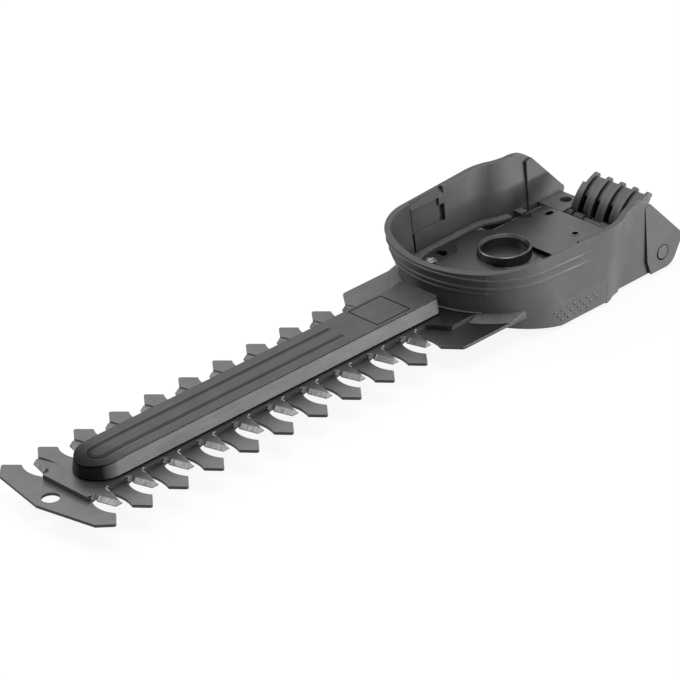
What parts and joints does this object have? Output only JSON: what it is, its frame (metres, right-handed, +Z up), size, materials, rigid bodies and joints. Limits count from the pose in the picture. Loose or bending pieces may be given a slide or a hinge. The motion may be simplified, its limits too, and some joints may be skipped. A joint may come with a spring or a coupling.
{
  "type": "hedge trimmer blade",
  "caption": "Clip-on shrub shear blade unit: toothed guard comb under a reciprocating toothed blade, a rounded cover bar and an open tub with a yoke drive ring and a rear release lever.",
  "frame": {"origin": "on the crank axis of the machine that drives the blade, at the top face of the guard comb", "axes": "+X forward to the blade tip, +Y to the side away from the yoke slot's occupied end, +Z up out of the open tub"},
  "size_m": [0.358, 0.0911, 0.0411],
  "materials": {
    "comb_steel": "dark blackened sheet steel, satin",
    "blade_steel": "sheet steel with bright ground edges",
    "ring_steel": "turned steel, bright edge",
    "bar_plastic": "moulded, semi-gloss",
    "zinc_steel": "bright zinc plating",
    "housing_plastic": "moulded, fine matt grain",
    "lever_plastic": "moulded, matt",
    "pin_steel": "dark steel"
  },
  "bodies": {
    "base": {"guard_comb": "comb_steel", "cover_bar": "bar_plastic", "bar_screws": "zinc_steel", "tub_housing": "housing_plastic", "lower_shell": "housing_plastic", "front_housing_screws": "zinc_steel", "rear_housing_screws": "zinc_steel", "latch_pin": "pin_steel"},
    "blade": {"moving_blade": "blade_steel"},
    "ring": {"drive_ring": "ring_steel"},
    "lever": {"release_lever": "lever_plastic"}
  },
  "joints": [
    {"name": "blade_stroke", "type": "slide", "parent": "base", "child": "blade", "axis": [1, 0, 0], "range_m": [-0.0075, 0.0075]},
    {"name": "ring_cross_slide", "type": "slide", "parent": "blade", "child": "ring", "axis": [0, 1, 0], "range_m": [0, 0.015]},
    {"name": "lever_release", "type": "hinge", "parent": "base", "child": "lever", "pos_m": [-0.0548, 0, -0.003], "axis": [0, 1, 0], "range_deg": [-15, 0], "stiffness_Nm_per_rad": 0.2, "springref_deg": 17.19}
  ]
}
